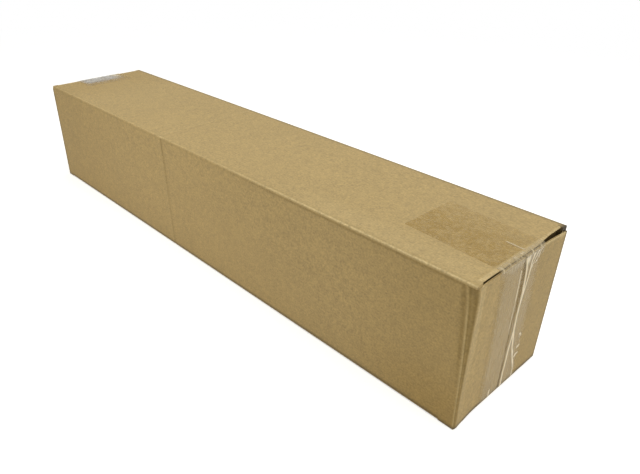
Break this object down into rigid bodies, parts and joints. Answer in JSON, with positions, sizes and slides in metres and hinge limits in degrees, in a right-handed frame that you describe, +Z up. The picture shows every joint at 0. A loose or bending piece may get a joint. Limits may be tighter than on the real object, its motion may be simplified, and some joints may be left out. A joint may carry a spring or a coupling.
{
  "type": "long corrugated carton",
  "caption": "Long square-section corrugated carton that opens at both ends, with hinged inner and outer flaps closed by clear packing tape; ships slim goods.",
  "frame": {"origin": "on the ground under the middle of the carton", "axes": "+X along the carton to the end with the long tape tail, -Y out of the front panel, +Z up"},
  "size_m": [0.5186, 0.1, 0.102],
  "materials": {
    "kraft_board": "matte brown kraft liner with fine fibres and speckle",
    "clear_tape": "clear glossy film"
  },
  "bodies": {
    "sleeve": {"top_panel": "kraft_board", "bottom_panel": "kraft_board", "front_panel": "kraft_board", "back_panel": "kraft_board", "joint_lap": "kraft_board", "right_top_tape": "clear_tape", "right_bottom_tape": "clear_tape", "left_top_tape": "clear_tape", "left_bottom_tape": "clear_tape"},
    "right_front_flap": {"right_front_outer_flap": "kraft_board", "right_front_flap_tape": "clear_tape"},
    "right_back_flap": {"right_back_outer_flap": "kraft_board", "right_back_flap_tape": "clear_tape"},
    "right_top_flap": {"right_top_inner_flap": "kraft_board"},
    "right_bottom_flap": {"right_bottom_inner_flap": "kraft_board"},
    "left_front_flap": {"left_front_outer_flap": "kraft_board", "left_front_flap_tape": "clear_tape"},
    "left_back_flap": {"left_back_outer_flap": "kraft_board", "left_back_flap_tape": "clear_tape"},
    "left_top_flap": {"left_top_inner_flap": "kraft_board"},
    "left_bottom_flap": {"left_bottom_inner_flap": "kraft_board"}
  },
  "joints": [
    {"name": "right_front_flap_hinge", "type": "hinge", "parent": "sleeve", "child": "right_front_flap", "pos_m": [0.25841, -0.04941, 0.051], "axis": [0, 0, -1], "range_deg": [0, 175]},
    {"name": "right_back_flap_hinge", "type": "hinge", "parent": "sleeve", "child": "right_back_flap", "pos_m": [0.25841, 0.04941, 0.051], "axis": [0, 0, 1], "range_deg": [0, 175]},
    {"name": "right_top_flap_hinge", "type": "hinge", "parent": "sleeve", "child": "right_top_flap", "pos_m": [0.253, 0, 0.0992], "axis": [0, 1, 0], "range_deg": [-11, 73]},
    {"name": "right_bottom_flap_hinge", "type": "hinge", "parent": "sleeve", "child": "right_bottom_flap", "pos_m": [0.253, 0, 0.0028], "axis": [0, -1, 0], "range_deg": [-11, 73]},
    {"name": "left_front_flap_hinge", "type": "hinge", "parent": "sleeve", "child": "left_front_flap", "pos_m": [-0.25841, -0.04941, 0.051], "axis": [0, 0, 1], "range_deg": [0, 175]},
    {"name": "left_back_flap_hinge", "type": "hinge", "parent": "sleeve", "child": "left_back_flap", "pos_m": [-0.25841, 0.04941, 0.051], "axis": [0, 0, -1], "range_deg": [0, 175]},
    {"name": "left_top_flap_hinge", "type": "hinge", "parent": "sleeve", "child": "left_top_flap", "pos_m": [-0.253, 0, 0.0992], "axis": [0, -1, 0], "range_deg": [-11, 73]},
    {"name": "left_bottom_flap_hinge", "type": "hinge", "parent": "sleeve", "child": "left_bottom_flap", "pos_m": [-0.253, 0, 0.0028], "axis": [0, 1, 0], "range_deg": [-11, 73]}
  ]
}
